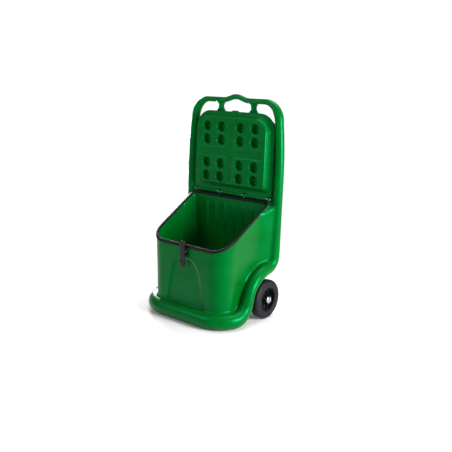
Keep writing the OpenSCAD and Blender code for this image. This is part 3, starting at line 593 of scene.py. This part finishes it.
for side, name in ((-1, "left"), (1, "right")):
    centre = Vector((side * WHEEL_X, WHEEL_Y, WHEEL_Z))
    tyre = to_object(turned(TYRE_PROFILE, centre, mirror=True), name + "_tyre_moulding")
    eased(tyre, 0.7, 2, 25)
    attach(tyre, name + "_wheel")
    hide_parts(name + "_tyre")
    put_on(tyre, tyre_rubber)

    # Hub: rim, web disc, boss and six ribs that widen into the rim on both faces
    hub = joined([to_object(turned(p, centre), "ring") for p in (HUB_RIM, BOSS)], "hub_rings")
    boolean(hub, to_object(turned(HUB_DISC, centre), "disc"), "UNION")
    for i in range(6):
        bm = bmesh.new()
        bmesh.ops.create_cube(bm, size=1)
        bmesh.ops.scale(bm, vec=(32, 6, 39), verts=bm.verts)
        for vert in bm.verts:
            if vert.co.z > 0:
                vert.co.x *= 0.85
                vert.co.y *= 1.5
        bmesh.ops.translate(bm, vec=(0, 0, 36), verts=bm.verts)
        spoke_turn = Matrix.Rotation(math.radians(60 * i), 3, "X")
        bmesh.ops.rotate(bm, cent=(0, 0, 0), matrix=spoke_turn, verts=bm.verts)
        bmesh.ops.translate(bm, vec=centre, verts=bm.verts)
        boolean(hub, to_object(bm, "rib"), "UNION")
    eased(hub, 0.8, 2, 35)
    hub.name = name + "_hub_moulding"
    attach(hub, name + "_wheel")
    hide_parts(name + "_wheel_hub")
    put_on(hub, nylon)

# White nylon bushes carry the hubs on the axle: off-white, slightly milky and satin.
bush, tree = new_material("white_nylon")
place = add(tree, "ShaderNodeTexCoord")
cloud = add(tree, "ShaderNodeTexNoise", {"Vector": place.outputs["Object"], "Scale": 1000 / 10,
                                           "Detail": 2})
tint = add(tree, "ShaderNodeValToRGB", {"Fac": cloud.outputs["Fac"]},
           stops=((0.3, colour("#d2d1c8")), (0.7, colour("#e0dfd8"))))
shader = add(tree, "ShaderNodeBsdfPrincipled", {"Base Color": tint.outputs["Color"], "Roughness": 0.45})
add(tree, "ShaderNodeOutputMaterial", {"Surface": shader.outputs["BSDF"]})
for node in ("left_wheel_bushes", "right_wheel_bushes"):
    put_on(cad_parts[node], bush)

# Pressed steel caps hold the wheels on. They are bright plated, with a faintly uneven shine.
chrome, tree = new_material("bright_plated_cap")
place = add(tree, "ShaderNodeTexCoord")
streak = add(tree, "ShaderNodeTexNoise", {"Vector": place.outputs["Object"], "Scale": 1000 / 3,
                                            "Detail": 3})
tint = add(tree, "ShaderNodeValToRGB", {"Fac": streak.outputs["Fac"]},
           stops=((0.3, colour("#8f9294")), (0.7, colour("#b2b5b6"))))
blur = add(tree, "ShaderNodeMapRange", {"Value": streak.outputs["Fac"], "From Min": 0.3, "From Max": 0.7,
                                        "To Min": 0.12, "To Max": 0.24})
shader = add(tree, "ShaderNodeBsdfPrincipled", {"Base Color": tint.outputs["Color"],
                                                "Roughness": blur.outputs["Result"],
                                                "Metallic": 1.0})
add(tree, "ShaderNodeOutputMaterial", {"Surface": shader.outputs["BSDF"]})
CAP_X = 317.4
CAP_PROFILE = [(10.3, 0), (18.5, 0), (18.5, 1.1), (17.4, 2.0), (15, 3.3), (12, 4.2), (9, 4.8), (6.2, 5),
               (5.2, 4.6), (5, 3.4), (10.3, 3.4)]
pressings = []
for side in (-1, 1):
    outward = [(r, side * x) for r, x in CAP_PROFILE]
    pressings.append(to_object(turned(outward, Vector((side * CAP_X, WHEEL_Y, WHEEL_Z))), "cap"))
caps = joined(pressings, "axle_cap_pressings")
caps.data.shade_smooth()
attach(caps, "cart_frame")
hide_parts("axle_caps")
put_on(caps, chrome)

# ---------- Floor, light and camera ----------
# White studio paper that runs out into an evenly lit white sweep. A tall soft light stands at
# the right, a weaker one at the front left, a broad one overhead and a strip behind the left side.
bm = bmesh.new()
bmesh.ops.create_grid(bm, x_segments=1, y_segments=1, size=12000)
floor = to_object(bm, "studio_floor")
paper, tree = new_material("white_paper")
place = add(tree, "ShaderNodeTexCoord")
fibre = add(tree, "ShaderNodeTexNoise", {"Vector": place.outputs["Object"], "Scale": 1000 / 400,
                                           "Detail": 2})
tint = add(tree, "ShaderNodeValToRGB", {"Fac": fibre.outputs["Fac"]},
           stops=((0.3, colour("#d6d6d6")), (0.7, colour("#dadada"))))
shader = add(tree, "ShaderNodeBsdfPrincipled", {"Base Color": tint.outputs["Color"], "Roughness": 0.9})
sweep = add(tree, "ShaderNodeEmission", {"Color": (1, 1, 1, 1), "Strength": 1.05})
away = add(tree, "ShaderNodeVectorMath", {0: place.outputs["Object"]}, operation="LENGTH")
fade = add(tree, "ShaderNodeMapRange", {"Value": away.outputs["Value"], "From Min": 0.6, "From Max": 1.5},
           interpolation_type="SMOOTHSTEP")
mix = add(tree, "ShaderNodeMixShader", {0: fade.outputs["Result"], 1: shader.outputs["BSDF"],
                                        2: sweep.outputs["Emission"]})
add(tree, "ShaderNodeOutputMaterial", {"Surface": mix.outputs["Shader"]})
put_on(floor, paper)

bpy.context.scene.view_settings.view_transform = "Standard"
world = bpy.data.worlds.new("studio")
world.use_nodes = True
world.node_tree.nodes.clear()
seen = add(world.node_tree, "ShaderNodeLightPath")
white = add(world.node_tree, "ShaderNodeBackground", {"Color": (1, 1, 1, 1), "Strength": 1.05})
dim = add(world.node_tree, "ShaderNodeBackground", {"Color": (1, 1, 1, 1), "Strength": 0.25})
mix = add(world.node_tree, "ShaderNodeMixShader", {0: seen.outputs["Is Camera Ray"],
                                                   1: dim.outputs["Background"],
                                                   2: white.outputs["Background"]})
add(world.node_tree, "ShaderNodeOutputWorld", {"Surface": mix.outputs["Shader"]})
bpy.context.scene.world = world


def soft_light(name, place, target, size, watts):
    lamp = bpy.data.lights.new(name, "AREA")
    lamp.shape, lamp.size, lamp.size_y, lamp.energy = "RECTANGLE", size[0], size[1], watts
    obj = bpy.data.objects.new(name, lamp)
    obj.location = place
    obj.rotation_euler = (Vector(target) - Vector(place)).to_track_quat("-Z", "Y").to_euler()
    bpy.context.scene.collection.objects.link(obj)


soft_light("side", (2.4, 0.0, 1.0), (0, 0, 0.45), (0.8, 1.0), 112)
soft_light("key", (-1.4, -2.4, 2.2), (0, 0, 0.5), (1.4, 1.4), 35)
soft_light("overhead", (0.2, 0.6, 3.2), (0, 0, 0.5), (2.0, 2.0), 75)
soft_light("strip", (-1.5, 0.9, 0.9), (-0.2, 0, 0.4), (0.35, 1.6), 45)

AZIMUTH, ELEVATION = math.radians(38.83), math.radians(14.98)
camera_data = bpy.data.cameras.new("camera")
camera_data.lens, camera_data.sensor_width = 51.47, 36
camera = bpy.data.objects.new("camera", camera_data)
camera.location = (2.0578, -2.422, 1.2987)
forward = Vector((-math.sin(AZIMUTH), math.cos(AZIMUTH), 0)) * math.cos(ELEVATION)
forward.z = -math.sin(ELEVATION)
camera.rotation_euler = forward.to_track_quat("-Z", "Y").to_euler()
bpy.context.scene.collection.objects.link(camera)
bpy.context.scene.camera = camera
